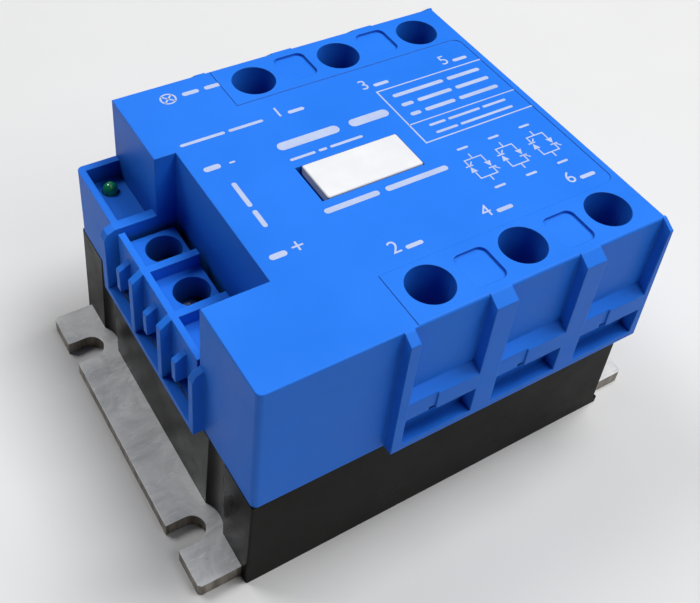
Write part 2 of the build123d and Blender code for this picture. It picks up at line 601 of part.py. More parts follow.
def nut(x, y, z0, height, flats, thread):
    """Hexagonal nut with a plain hole."""
    body = hexagon(x, y, z0, z0 + height, flats)
    return body - rod(x, y, z0 - CUT_OVER, z0 + height + CUT_OVER, thread / 2)


# ---------------------------------------------------------------- conductors and power stage
SUBSTRATE_TOP = PLATE_THICK + SUBSTRATE_SIZE[2]
DIE_TOP = SUBSTRATE_TOP + DIE_SIZE[2]
CERAMIC_THICK = 0.6
COPPER_THICK = 0.3
ISLAND_GAP = 1.0


def substrate(x):
    """Copper-clad ceramic tile of one phase: ceramic between two copper sheets."""
    width, depth, _ = SUBSTRATE_SIZE
    z = PLATE_THICK
    return slab(x, 0, width / 2, depth / 2, z + COPPER_THICK, z + COPPER_THICK + CERAMIC_THICK)


def substrate_copper(x):
    """Bottom sheet and the two top islands of one phase's tile."""
    inset = 0.8
    half_x, half_y = SUBSTRATE_SIZE[0] / 2 - inset, SUBSTRATE_SIZE[1] / 2 - inset
    top_z = PLATE_THICK + COPPER_THICK + CERAMIC_THICK
    bottom = slab(x, 0, half_x, half_y, PLATE_THICK, PLATE_THICK + COPPER_THICK)
    islands = [block(x - half_x, x + half_x, side * ISLAND_GAP / 2, side * half_y, top_z, SUBSTRATE_TOP)
               for side in (-1, 1)]
    return [bottom] + islands


def dies(x):
    """Two thyristor dies of one phase, back to back."""
    width, depth, height = DIE_SIZE
    return [slab(x, side * DIE_Y, width / 2, depth / 2, SUBSTRATE_TOP, SUBSTRATE_TOP + height)
            for side in (-1, 1)]


def terminal_bar(x, side):
    """Bent copper bar: foot on the tile, upright, and the flat the wire is clamped to."""
    half = BAR_WIDTH / 2
    foot_y = side * BAR_FOOT_Y
    rise_y = side * BAR_RISE_Y
    inner, outer = rise_y - side * BAR_THICK / 2, rise_y + side * BAR_THICK / 2
    end_y = side * (CHAMBER_OUTER_Y - 0.4)
    profile = [(foot_y, SUBSTRATE_TOP), (outer, SUBSTRATE_TOP), (outer, PAD_TOP_Z), (end_y, PAD_TOP_Z),
               (end_y, BAR_TOP_Z), (inner, BAR_TOP_Z), (inner, SUBSTRATE_TOP + BAR_THICK),
               (foot_y, SUBSTRATE_TOP + BAR_THICK)]
    bar = prism_x(profile, x - half, x + half)
    bends = bar.edges().filter_by(Axis.X).filter_by(lambda e: abs(abs(e.center().Y) - BAR_RISE_Y) < BAR_THICK)
    bar = fillet(bends, 0.7)
    hole_radius = POWER_THREAD / 2 + FREE_CLEARANCE
    return bar - rod(x, side * WELL_Y, PAD_TOP_Z - CUT_OVER, BAR_TOP_Z + CUT_OVER, hole_radius)


def clip(x):
    """Copper bridges from the top of each die to the neighbouring island."""
    half, thick = 3.0, 0.5
    pad_near, pad_far = DIE_Y - 3.0, DIE_Y + 2.0
    leg_near, leg_far = 1.2, 2.2
    arch_z = DIE_TOP + thick
    bridges = []
    for side in (-1, 1):
        left, right = x - half * side, x - 0.4 * side
        pad = block(x - half, x + half, side * pad_near, side * pad_far, DIE_TOP, arch_z)
        arch = block(left, right, -side * leg_far, side * (pad_near + 1), arch_z, arch_z + thick)
        leg = block(left, right, -side * leg_near, -side * leg_far, SUBSTRATE_TOP, arch_z + thick)
        bridges.append(pad + arch + leg)
    return bridges


def gate_leads(x):
    """Spring-straight gate pins from the board down to each die."""
    top = BOARD_Z + BOARD_THICK + 0.8
    return [rod(x + side * PIN_OFFSET, side * DIE_Y, DIE_TOP, top, PIN_RADIUS) for side in (-1, 1)]


def control_contact(y):
    """Brass contact under one control screw, with its pin into the board."""
    left, right, half = CONTROL_PAD
    pin_left, pin_right = CONTACT_PIN_X
    low, high = y - half + 0.2, y + half - 0.2
    flat = block(left + 0.2, right - 0.2, low, high, CONTROL_PAD_Z, CONTACT_TOP_Z)
    flat -= rod(CONTROL_X, y, CONTROL_PAD_Z - CUT_OVER, CONTACT_TOP_Z + CUT_OVER,
                CONTROL_THREAD / 2 + FREE_CLEARANCE)
    tail_half = CONTACT_SLOT_HALF_Y - FREE_CLEARANCE
    tail = block(right - MERGE, pin_right, y - tail_half, y + tail_half, CONTROL_PAD_Z, CONTACT_TOP_Z)
    pin = block(pin_left, pin_right, y - CONTACT_PIN_HALF_Y, y + CONTACT_PIN_HALF_Y,
                BOARD_Z - LEAD_END, CONTACT_TOP_Z)
    return flat + tail + pin


# ---------------------------------------------------------------- circuit board and its parts
BOARD_SCREWS = ((-31.0, 30.0), (-31.0, -30.0), (37.1, 0.0))
BOARD_SCREW_RADIUS = 1.1
BOARD_LEFT, BOARD_STEP_X, BOARD_RIGHT = -39.6, -16.4, 39.3
PART_SHIFT_X = -3.0           # board parts sit left of their phase's terminals
BOARD_WIDE, BOARD_NARROW = 34.6, 19.4
INPUT_X = -21.5               # middle of the control input's parts
GRID = 2.54                   # pin pitch


def circuit_board():
    """Board that is wide beside the latches and narrow between the rows of terminals."""
    z0, z1 = BOARD_Z, BOARD_Z + BOARD_THICK
    under, over = z0 - CUT_OVER, z1 + CUT_OVER
    board = block(BOARD_LEFT, BOARD_STEP_X, -BOARD_WIDE, BOARD_WIDE, z0, z1)
    board += block(BOARD_STEP_X - MERGE, BOARD_RIGHT, -BOARD_NARROW, BOARD_NARROW, z0, z1)
    inner_y = HALF_WIDTH - HOUSING_WALL
    reach = LATCH_HALF_WIDTH + 0.6
    for side in (-1, 1):
        board -= block(LATCH_X - reach, LATCH_X + reach, side * (inner_y - 2.1), side * inner_y, under, over)
        board -= rod(LAMP_X + side * LAMP_LEAD_OFFSET, LAMP_Y, under, over, LAMP_LEAD_HALF + SINK_GAP)
    for x, y in BOARD_SCREWS:
        board -= rod(x, y, under, over, BOARD_SCREW_RADIUS + 0.2)
    for x in PHASE_X:
        for side in (-1, 1):
            board -= rod(x + side * PIN_OFFSET, side * DIE_Y, under, over, PIN_RADIUS + PIN_HOLE_GAP)
    for y in CONTROL_Y:
        board -= block(CONTACT_PIN_X[0] - SEAT_GAP, CONTACT_PIN_X[1] + SEAT_GAP,
                       y - CONTACT_PIN_HALF_Y - SEAT_GAP, y + CONTACT_PIN_HALF_Y + SEAT_GAP, under, over)
    return board


def board_screws():
    top = BOARD_Z + BOARD_THICK
    screws = []
    for x, y in BOARD_SCREWS:
        head = rod(x, y, top, top + 1.6, 2.1) - cross_recess(x, y, top + 0.8, top + 2, 1.3, 0.25)
        screws.append(head + rod(x, y, BOARD_Z - BOARD_SHELF[2], top, BOARD_SCREW_RADIUS))
    return screws


def opto_triac(x):
    """Six-pin optocoupler that fires one phase."""
    half_x, half_y, height = 3.2, 4.4, 3.4
    stand_off, pin_reach, pin_half = 0.5, 0.7, 0.6
    z = BOARD_Z + BOARD_THICK + stand_off
    body = slab(x, 0, half_x, half_y, z, z + height)
    body = chamfer(body.faces().sort_by(Axis.Z)[-1].edges(), 0.4)
    for side in (-1, 1):
        for y in (-GRID, 0, GRID):
            edge_x = x + side * half_x
            body += block(edge_x, edge_x + side * pin_reach, y - pin_half, y + pin_half,
                          z - stand_off, z + height / 2)
    return body


def varistor(x):
    """Disc varistor across one phase, standing on two leads."""
    z = BOARD_Z + BOARD_THICK
    y, radius, thick, lead_half_pitch = 13.0, 7.4, 4.4, 3.75
    disc = Pos(x, y, z + radius + 2.0) * Rot(90, 0, 0) * Cylinder(radius, thick)
    disc = fillet(disc.edges(), 1.2)
    for side in (-1, 1):
        disc += rod(x + side * lead_half_pitch, y, z, z + 4.5, 0.4)
    return disc


def snubber_capacitor(x):
    """Box film capacitor of one phase."""
    z = BOARD_Z + BOARD_THICK
    return fillet(slab(x, -14.1, 6.5, 2.5, z, z + 11.0).edges(), 0.5)


def snubber_resistor(x):
    """Power resistor lying beside its capacitor."""
    top = BOARD_Z + BOARD_THICK
    y, axis_z, wire = -8.6, top + 2.5, 0.35
    lead_reach = 6.0
    body = fillet(Cylinder(1.7, 9.0).edges(), 0.4) + Cylinder(wire, 2 * (lead_reach + wire))
    body = Pos(x, y, axis_z) * Rot(0, 90, 0) * body
    for side in (-1, 1):
        body += rod(x + side * lead_reach, y, top, axis_z + wire, wire)
    return body


def input_parts():
    """Current regulator, rectifier and series resistors of the control input."""
    z = BOARD_Z + BOARD_THICK
    regulator = slab(INPUT_X, 21.2, 2.5, 3.2, z, z + 1.6) + slab(INPUT_X, 19.8, 3.1, 0.6, z, z + 0.6)
    bridge = fillet(slab(INPUT_X, 11.3, 3.5, 3.3, z, z + 3.2).edges(), 0.4)
    coupler = chamfer(slab(INPUT_X, -21.8, 3.0, 4.2, z, z + 3.4).edges(), 0.3)
    chips = [slab(INPUT_X + column * 3.1 - 0.9, y, 1.0, 1.6, z, z + 0.6)
             for column in (-1, 0, 1) for y in (-6.4, -12.4)]
    return [regulator, bridge, coupler] + chips


def lamp():
    """Green light-emitting diode that shows in the pocket."""
    under = LAMP_FLOOR_Z - WALL
    dome_z = LAMP_FLOOR_Z + LAMP_COLLAR
    flange = rod(LAMP_X, LAMP_Y, under - LAMP_FLANGE, under - 0.05, LAMP_RADIUS + 0.4)
    body = rod(LAMP_X, LAMP_Y, under - SEAT_GAP, dome_z, LAMP_RADIUS)
    return flange + body + Pos(LAMP_X, LAMP_Y, dome_z) * Sphere(LAMP_RADIUS)


def lamp_leads():
    """Two square wires from the lamp down through the circuit board."""
    top = LAMP_FLOOR_Z - WALL - LAMP_FLANGE
    return [slab(LAMP_X + side * LAMP_LEAD_OFFSET, LAMP_Y, LAMP_LEAD_HALF, LAMP_LEAD_HALF,
                 BOARD_Z - LEAD_END, top) for side in (-1, 1)]


def potting_gel(inside):
    """Soft gel poured over the power stage, moulded round everything that stands in it."""
    top = PLATE_THICK + GEL_DEPTH
    gel = block(GEL_LEFT, INNER_RIGHT - SEAT_GAP, -GEL_HALF_Y, GEL_HALF_Y, PLATE_THICK, top)
    for solid in inside:
        gel -= solid
    return gel


# ---------------------------------------------------------------- write every node
save("base_plate", base_plate())
save("base_screws", *base_screws())
save("lower_housing", housing())
save("top_cover", cover())
save("marker_tag", marker_tag())
save("control_terminal_block", control_block())

in_gel = []
power_nuts = []
for phase, x in zip(PHASES, PHASE_X):
    copper = substrate_copper(x)
    ceramic = substrate(x)
    silicon = dies(x)
    bridges = clip(x)
    pins = gate_leads(x)
    save(f"ceramic_tile_{phase}", ceramic)
    save(f"tile_copper_{phase}", *copper)
    save(f"thyristor_dies_{phase}", *silicon)
    save(f"die_clips_{phase}", *bridges)
    in_gel += [ceramic] + copper + silicon + bridges + pins
    for letter, side in SIDES.items():
        name = f"{letter}{phase}"
        bar = terminal_bar(x, side)
        in_gel.append(bar)
        save(f"terminal_bar_{name}", bar)
        y = side * WELL_Y
        clamp = clamp_plate(x, y, BAR_TOP_Z, *CLAMP_SIZE, POWER_THREAD / 2 + 2 * SEAT_GAP)
        save(f"clamp_plate_{name}", clamp)
        save(f"terminal_screw_{name}", screw(x, y, BAR_TOP_Z + CLAMP_SIZE[2], POWER_THREAD, POWER_HEAD_RADIUS,
                                             POWER_HEAD_HEIGHT, POWER_SHANK, POWER_SLOT))
        power_nuts.append(nut(x, y, PAD_TOP_Z - NUT_HEIGHT, NUT_HEIGHT, NUT_FLATS, POWER_THREAD))

control_nuts = []
for label, y in zip(("minus", "spare", "plus"), CONTROL_Y):
    clamp = clamp_plate(CONTROL_X, y, CONTACT_TOP_Z, *CONTROL_CLAMP_SIZE, CONTROL_THREAD / 2 + 2 * SEAT_GAP)
    save(f"control_clamp_{label}", clamp)
    seat_z = CONTACT_TOP_Z + CONTROL_CLAMP_SIZE[2]
    save(f"control_screw_{label}", screw(CONTROL_X, y, seat_z, CONTROL_THREAD, CONTROL_HEAD_RADIUS,
                                         CONTROL_HEAD_HEIGHT, CONTROL_SHANK, CONTROL_SLOT))
    nut_z = CONTROL_PAD_Z - CONTROL_NUT_HEIGHT
    control_nuts.append(nut(CONTROL_X, y, nut_z, CONTROL_NUT_HEIGHT, CONTROL_NUT_FLATS, CONTROL_THREAD))

save("power_nuts", *power_nuts)
save("control_nuts", *control_nuts)
save("control_contacts", *[control_contact(y) for y in CONTROL_Y])
save("circuit_board", circuit_board())
save("board_screws", *board_screws())
save("opto_triacs", *[opto_triac(x + PART_SHIFT_X) for x in PHASE_X])
save("varistors", *[varistor(x + PART_SHIFT_X) for x in PHASE_X])
save("snubber_capacitors", *[snubber_capacitor(x + PART_SHIFT_X) for x in PHASE_X])
save("snubber_resistors", *[snubber_resistor(x + PART_SHIFT_X) for x in PHASE_X])
save("input_parts", *input_parts())
save("gate_leads", *[pin for x in PHASE_X for pin in gate_leads(x)])
save("status_lamp", lamp())
save("lamp_leads", *lamp_leads())
save("potting_gel", potting_gel(in_gel))
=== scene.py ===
"""Looks of the solid state relay: materials, printed label, floor, light and camera round the CAD frame."""
import json
import math

import bmesh
import bpy
from mathutils import Matrix, Quaternion, Vector


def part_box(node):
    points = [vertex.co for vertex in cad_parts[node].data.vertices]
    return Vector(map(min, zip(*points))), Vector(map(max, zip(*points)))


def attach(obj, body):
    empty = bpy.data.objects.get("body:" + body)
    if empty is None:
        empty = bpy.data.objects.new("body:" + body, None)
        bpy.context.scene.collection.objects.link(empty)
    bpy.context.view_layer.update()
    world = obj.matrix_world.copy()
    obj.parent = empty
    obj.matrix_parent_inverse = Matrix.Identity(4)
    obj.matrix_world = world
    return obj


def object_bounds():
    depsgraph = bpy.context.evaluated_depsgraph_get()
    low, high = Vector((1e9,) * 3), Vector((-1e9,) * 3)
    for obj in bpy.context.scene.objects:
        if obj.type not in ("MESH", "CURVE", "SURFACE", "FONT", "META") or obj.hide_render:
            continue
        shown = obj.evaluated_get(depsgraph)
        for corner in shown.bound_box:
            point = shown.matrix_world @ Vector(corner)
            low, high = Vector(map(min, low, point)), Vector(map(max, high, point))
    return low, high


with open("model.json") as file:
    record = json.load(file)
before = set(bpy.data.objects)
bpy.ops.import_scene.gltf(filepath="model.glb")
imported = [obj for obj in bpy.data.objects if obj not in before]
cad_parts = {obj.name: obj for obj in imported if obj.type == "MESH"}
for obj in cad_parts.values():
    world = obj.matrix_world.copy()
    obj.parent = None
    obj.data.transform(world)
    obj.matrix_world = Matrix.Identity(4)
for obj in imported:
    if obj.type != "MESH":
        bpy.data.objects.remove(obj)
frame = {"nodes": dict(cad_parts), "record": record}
cad_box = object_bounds()
nodes = frame["nodes"]
MM = 0.001


# ---------------------------------------------------------------- camera
VIEW_AZIMUTH, VIEW_ELEVATION, VIEW_ROLL = -35.986, 42.473, 6.360     # degrees
CAMERA_AT = Vector((-91.22, -119.33, 187.44)) * MM
CAMERA_LENS = 54.99
CAMERA_SHIFT = (0.0150, -0.1639)


def add_camera():
    azimuth, elevation = math.radians(VIEW_AZIMUTH), math.radians(VIEW_ELEVATION)
    level = math.cos(elevation)
    forward = Vector((-math.sin(azimuth) * level, math.cos(azimuth) * level, -math.sin(elevation)))
    data = bpy.data.cameras.new("camera")
    data.lens = CAMERA_LENS
    data.sensor_width = 36.0
    data.shift_x, data.shift_y = CAMERA_SHIFT
    data.clip_start, data.clip_end = 0.01, 20.0
    camera = bpy.data.objects.new("camera", data)
    camera.rotation_mode = "QUATERNION"
    roll = Quaternion(forward, math.radians(-VIEW_ROLL))
    camera.rotation_quaternion = roll @ forward.to_track_quat("-Z", "Y")
    camera.location = CAMERA_AT
    bpy.context.scene.collection.objects.link(camera)
    bpy.context.scene.camera = camera


# ---------------------------------------------------------------- shader helpers
GAP_OPENNESS = (0.04, 0.42)     # shares of open sky between which a gap grows darker under the painted shade
GAP_SHARE = 0.25                # of its colour that the deepest gap keeps under the painted shade


def add(tree, kind, inputs=None, **settings):
    """New shader node. Inputs are values or output sockets, by the socket's name or number."""
    made = tree.nodes.new("ShaderNode" + kind)
    for key, value in settings.items():
        setattr(made, key, value)
    for key, value in (inputs or {}).items():
        if isinstance(value, bpy.types.NodeSocket):
            tree.links.new(value, made.inputs[key])
        else:
            made.inputs[key].default_value = value
    return made


def noise(tree, size_mm, detail=4.0, stretch=(1, 1, 1), rough=0.55, distortion=0.0):
    """Noise in the object's own space; size_mm is the size of its largest features."""
    where = add(tree, "TexCoord").outputs["Object"]
    scaled = add(tree, "Mapping", {"Vector": where, "Scale": stretch}).outputs["Vector"]
    made = add(tree, "TexNoise", {"Vector": scaled, "Scale": 1 / (size_mm * MM), "Detail": detail,
                                  "Roughness": rough, "Distortion": distortion})
    return made.outputs["Fac"]


def spread(tree, value, low, high, to_low=0.0, to_high=1.0):
    """Linear stretch of value from low..high to to_low..to_high, clamped."""
    made = add(tree, "MapRange", {"Value": value, "From Min": low, "From Max": high,
                                  "To Min": to_low, "To Max": to_high})
    return made.outputs["Result"]


def times(tree, a, b):
    return add(tree, "Math", {0: a, 1: b}, operation="MULTIPLY").outputs[0]


def plus(tree, a, b):
    return add(tree, "Math", {0: a, 1: b}, operation="ADD").outputs[0]


def blend_colour(tree, share, a, b):
    return add(tree, "Mix", {0: share, 6: a, 7: b}, data_type="RGBA").outputs[2]


def rgba(colour):
    return (*colour, 1.0)


def edges_of(tree, radius_mm):
    """(rounded normal, mask that is 1 on the edges) for bodies with crisp corners."""
    rounded = add(tree, "Bevel", {"Radius": radius_mm * MM}, samples=8).outputs["Normal"]
    facing = add(tree, "NewGeometry").outputs["Normal"]
    alike = add(tree, "VectorMath", {0: rounded, 1: facing}, operation="DOT_PRODUCT").outputs["Value"]
    return rounded, spread(tree, alike, 1.0, 0.80)


def grained(tree, normal, layers):
    """Bump of several noise layers, each (height socket, depth in mm), on top of a normal."""
    for height, depth_mm in layers:
        normal = add(tree, "Bump", {"Height": height, "Distance": depth_mm * MM, "Strength": 1.0,
                                    "Normal": normal}).outputs["Normal"]
    return normal


def shaded(tree, colour, reach_mm):
    """Paints shade into a colour: darker in deep wells and narrow gaps, by how little open sky they see."""
    openness = add(tree, "AmbientOcclusion", {"Distance": reach_mm * MM}, samples=6).outputs["AO"]
    share = spread(tree, openness, *GAP_OPENNESS, GAP_SHARE, 1.0)
    return add(tree, "VectorMath", {0: colour, "Scale": share}, operation="SCALE").outputs["Vector"]


def surface(name, colour, other, roughness, *, metallic=0.0, patch_mm=9.0, grain_mm=0.35, grain_depth=0.006,
            edge_mm=0.25, edge_colour=None, edge_share=0.5, stretch=(1, 1, 1), specular=0.5, coat=0.0,
            shade_mm=None):
    """Material with two mottled tones, uneven gloss, a fine grain and paler, rubbed edges; with shade_mm,
    also painted shade in wells and gaps.
    """
    material = bpy.data.materials.new(name)
    material.use_nodes = True
    tree = material.node_tree
    shader = tree.nodes["Principled BSDF"]
    rounded, edge = edges_of(tree, edge_mm)
    patches = spread(tree, noise(tree, patch_mm, 5.0, stretch), 0.35, 0.65)
    fine = noise(tree, grain_mm, 3.0, stretch)
    scuffs = spread(tree, noise(tree, patch_mm * 0.22, 6.0, stretch, 0.7), 0.52, 0.75)
    base = blend_colour(tree, patches, rgba(colour), rgba(other))
    worn = times(tree, times(tree, edge, edge_share), spread(tree, noise(tree, 1.6, 4.0), 0.35, 0.7))
    base = blend_colour(tree, worn, base, rgba(edge_colour or other))
    # painted shade: colour darkened in deep wells and narrow gaps
    if shade_mm:
        base = shaded(tree, base, shade_mm)
    low, high = roughness
    gloss = plus(tree, spread(tree, patches, 0.0, 1.0, low, high), times(tree, scuffs, 0.08))
    tree.links.new(base, shader.inputs["Base Color"])
    tree.links.new(gloss, shader.inputs["Roughness"])
    tree.links.new(grained(tree, rounded, [(fine, grain_depth)]), shader.inputs["Normal"])
    shader.inputs["Metallic"].default_value = metallic
    shader.inputs["Specular IOR Level"].default_value = specular
    shader.inputs["Coat Weight"].default_value = coat
    return material


# ---------------------------------------------------------------- materials
BLUE, BLUE_PALE = (0.015, 0.158, 0.700), (0.018, 0.174, 0.750)
BLUE_EDGE = (0.045, 0.260, 0.860)
BLACK, BLACK_WARM = (0.0040, 0.0033, 0.0026), (0.0062, 0.0052, 0.0040)
BLACK_EDGE = (0.040, 0.037, 0.033)
PRINT, PRINT_PALE = (0.380, 0.450, 0.660), (0.430, 0.500, 0.700)


def aluminium():
    """Rolled sheet: streaks along X, cloudy patches, and darker, browner upright faces with upright
    streaks.
    """
    material = bpy.data.materials.new("aluminium_sheet")
    material.use_nodes = True
    tree = material.node_tree
    shader = tree.nodes["Principled BSDF"]
    rounded, edge = edges_of(tree, 0.2)
    clouds = spread(tree, noise(tree, 9.0, 6.0, rough=0.62, distortion=0.8), 0.36, 0.64)
    streaks = spread(tree, noise(tree, 12.0, 5.0, (1.0, 7.0, 1.0), 0.6), 0.46, 0.68)
    smears = spread(tree, noise(tree, 5.0, 6.0, (1.0, 2.2, 1.0), 0.68, 1.4), 0.56, 0.72)
    specks = spread(tree, noise(tree, 0.9, 2.0), 0.66, 0.78)
    flat = blend_colour(tree, clouds, rgba((0.44, 0.45, 0.47)), rgba((0.69, 0.70, 0.71)))
    flat = blend_colour(tree, times(tree, streaks, 0.45), flat, rgba((0.72, 0.72, 0.71)))
    flat = blend_colour(tree, times(tree, smears, 0.55), flat, rgba((0.86, 0.86, 0.84)))
    flat = blend_colour(tree, times(tree, specks, 0.40), flat, rgba((0.24, 0.22, 0.19)))
    # colour sets upright faces darker and browner than the flat ones, streaked upright
    upright_streaks = spread(tree, noise(tree, 1.4, 4.0, (1.0, 1.0, 0.12)), 0.35, 0.68)
    upright_tone = blend_colour(tree, upright_streaks, rgba((0.12, 0.095, 0.07)), rgba((0.34, 0.31, 0.27)))
    up = add(tree, "SeparateXYZ", {0: add(tree, "NewGeometry").outputs["Normal"]}).outputs["Z"]
    lying = spread(tree, add(tree, "Math", {0: up}, operation="ABSOLUTE").outputs[0], 0.35, 0.8)
    colour = blend_colour(tree, lying, upright_tone, flat)
    colour = blend_colour(tree, times(tree, edge, 0.35), colour, rgba((0.82, 0.82, 0.81)))
    gloss = plus(tree, spread(tree, clouds, 0.0, 1.0, 0.46, 0.33), times(tree, streaks, 0.10))
    normal = grained(tree, rounded, [(noise(tree, 3.0, 5.0, (1.0, 8.0, 1.0)), 0.012),
                                     (noise(tree, 0.35, 2.0), 0.004)])
    tree.links.new(colour, shader.inputs["Base Color"])
    tree.links.new(gloss, shader.inputs["Roughness"])
    tree.links.new(normal, shader.inputs["Normal"])
    shader.inputs["Metallic"].default_value = 0.25
    return material


def lamp_material():
    """Tinted clear epoxy."""
    material = surface("lamp_epoxy", (0.008, 0.260, 0.080), (0.012, 0.330, 0.110), (0.08, 0.14),
                       patch_mm=1.6, grain_depth=0.0005, edge_mm=0.05, coat=0.8)
    shader = material.node_tree.nodes["Principled BSDF"]
    shader.inputs["Transmission Weight"].default_value = 0.05
    return material


def gel_material():
    material = surface("clear_gel", (0.62, 0.64, 0.60), (0.72, 0.73, 0.68), (0.12, 0.22), patch_mm=14.0,
                       grain_mm=4.0, grain_depth=0.02, edge_mm=0.3)
    shader = material.node_tree.nodes["Principled BSDF"]
    shader.inputs["Transmission Weight"].default_value = 0.55
    return material


def build_materials():
    """One material for each of the record's material slots."""
    # the blue mouldings get painted shade in their wells and gaps (shade_mm)
    blue = dict(patch_mm=26.0, grain_mm=0.30, grain_depth=0.0035, edge_mm=0.30, edge_colour=BLUE_EDGE,
                edge_share=0.35, specular=0.10, shade_mm=10.0)
    metal = dict(metallic=1.0, patch_mm=2.4, grain_mm=0.25, grain_depth=0.003, edge_mm=0.12)
    return {
        "blue_cover": surface("blue_moulded_cover", BLUE, BLUE_PALE, (0.40, 0.50), **blue),
        "blue_block": surface("blue_moulded_block", BLUE, BLUE_PALE, (0.38, 0.48), **blue),
        "black_housing": surface("black_moulded_housing", BLACK, BLACK_WARM, (0.26, 0.40), patch_mm=17.0,
                                 grain_mm=0.40, grain_depth=0.006, edge_mm=0.25, edge_colour=BLACK_EDGE,
                                 edge_share=0.5, specular=0.045),
        "aluminium_plate": aluminium(),
        "white_tag": surface("white_tag_plastic", (0.68, 0.69, 0.72), (0.73, 0.74, 0.76), (0.30, 0.38),
                             patch_mm=6.0, grain_depth=0.002, edge_mm=0.15, edge_colour=(0.78, 0.78, 0.79)),
        "lamp_green": lamp_material(),
        "zinc_steel": surface("zinc_plated_steel", (0.58, 0.57, 0.53), (0.70, 0.69, 0.64),
                              (0.24, 0.38), edge_colour=(0.85, 0.85, 0.82), **metal),
        "plated_steel": surface("pressed_plated_steel", (0.55, 0.54, 0.50), (0.68, 0.66, 0.60),
                                (0.30, 0.44), edge_colour=(0.82, 0.81, 0.78), **metal),
        "copper": surface("tin_flashed_copper", (0.70, 0.38, 0.24), (0.80, 0.55, 0.42), (0.26, 0.40),
                          edge_colour=(0.90, 0.66, 0.50), **metal),
        "contact_brass": surface("contact_brass", (0.70, 0.54, 0.26), (0.78, 0.62, 0.32), (0.24, 0.36),
                                 edge_colour=(0.90, 0.78, 0.50), **metal),
        "tinned_wire": surface("tinned_wire", (0.60, 0.60, 0.60), (0.72, 0.72, 0.71),
                               (0.22, 0.34), **metal),
        "ceramic": surface("fired_ceramic", (0.80, 0.79, 0.75), (0.88, 0.87, 0.83), (0.45, 0.60),
                           patch_mm=4.0),
        "silicon": surface("silicon_die", (0.12, 0.12, 0.15), (0.18, 0.18, 0.22), (0.12, 0.20),
                           patch_mm=3.0, grain_depth=0.001, edge_mm=0.05),
        "board_green": surface("solder_mask", (0.018, 0.150, 0.050), (0.028, 0.200, 0.075), (0.30, 0.42),
                               patch_mm=5.0, edge_colour=(0.35, 0.33, 0.16)),
        "chip_black": surface("chip_epoxy", (0.016, 0.016, 0.016), (0.028, 0.028, 0.028), (0.48, 0.60),
                              patch_mm=3.0),
        "varistor_blue": surface("dipped_epoxy", (0.035, 0.090, 0.260), (0.050, 0.130, 0.340), (0.28, 0.40),
                                 patch_mm=4.0),
        "capacitor_yellow": surface("capacitor_box", (0.66, 0.47, 0.05), (0.76, 0.56, 0.09), (0.32, 0.42),
                                    patch_mm=5.0),
        "resistor_grey": surface("resistor_coat", (0.24, 0.27, 0.29), (0.32, 0.35, 0.38), (0.50, 0.65),
                                 patch_mm=2.0),
        "gel": gel_material(),
    }


def dress_nodes(materials):
    for part in frame["record"]["subparts"]:
        for slot in nodes[part["node"]].material_slots:
            slot.material = materials[part["material_slot"]]


# ---------------------------------------------------------------- flat printed marks
PRINT_THICK = 0.02
PRINT_SUNK = 0.02           # how far the marks reach into the surface, so that no gap shows
LABEL_DEPTH = 0.15          # of the label field below the top face
MITRE_LIMIT = 0.35
CAP_HEIGHT = 0.72           # of the built-in face, as a share of its size
CORNER_STEPS = 5

# layout of the label, in mm
DIGIT_HEIGHT, SIGN_HEIGHT = 3.0, 3.4
DIGIT_SHIFT, DIGIT_BAR_SHIFT = -0.6, (3.0, -0.9)        # from the terminal screw's axis and the line
DIGIT_BAR = (3.6, 0.9)
LINE_T_Y, LINE_L_Y = -21.0, 20.0
SIGNS = (("+", "control_screw_plus", -1.2), ("-", "control_screw_minus", -0.6))
SIGN_X, SIGN_BAR_X, SIGN_BAR_DROP = -21.4, -25.4, 0.2
SIGN_BAR = (3.4, 1.3)
LAMP_SIGN_X, LAMP_SIGN_Y, LAMP_SIGN_RADIUS, LAMP_SIGN_LINE = -24.0, 33.0, 1.5, 0.36
WORD_LINES = (              # from x, to x, y, height, shares of the bars
    (-21.0, -12.6, 33.0, 2.2, (1, 1)),
    (-28.0, -10.5, 19.2, 1.5, (5, 4)),
    (-12.0, 13.0, 10.8, 4.4, (3, 2)),
    (-11.6, 4.4, 6.7, 1.3, (3, 1, 4)),
    (-13.0, 14.0, -8.0, 2.6, (5, 6)),
    (16.6, 38.4, 14.4, 2.0, (3, 2)),
    (16.6, 38.4, 11.2, 2.0, (1, 3, 3)),
    (16.6, 38.4, 8.0, 2.0, (1, 3, 4)),
    (18.0, 37.0, 3.6, 1.3, (2, 4, 3)),
    (18.0, 37.0, 1.2, 1.3, (2, 5)),
)
UPRIGHT_WORDS = (-6.6, 6.0, -23.9, 1.9, (2, 3))         # from y, to y, x, height, shares
FRAME = (14.4, 41.0, -0.5, 17.0)                        # left, right, low, high
FRAME_LINE = 0.32
FRAME_DIVIDER_Y, FRAME_DIVIDER_LINE = 5.4, 0.28
SYMBOL_X = (19.8, 27.3, 35.0)
SYMBOL_TOP_Y = -6.7
SYMBOL_CAPTION_Y = (-4.9, -16.7)
SYMBOL_CAPTION = (1.3, 1.1)                             # half its length, height

# circuit symbol of two thyristors side by side
SYMBOL_LINE = 0.28
SYMBOL_LEAD, SYMBOL_HEIGHT, SYMBOL_REACH = 1.4, 5.4, 1.95
ARROW_SIZE, ARROW_GAP = 1.5, 0.12
ARROW_BAR_HALF = 0.85
GATE_FROM, GATE_TO, GATE_RISE = 0.35, 1.1, 1.0


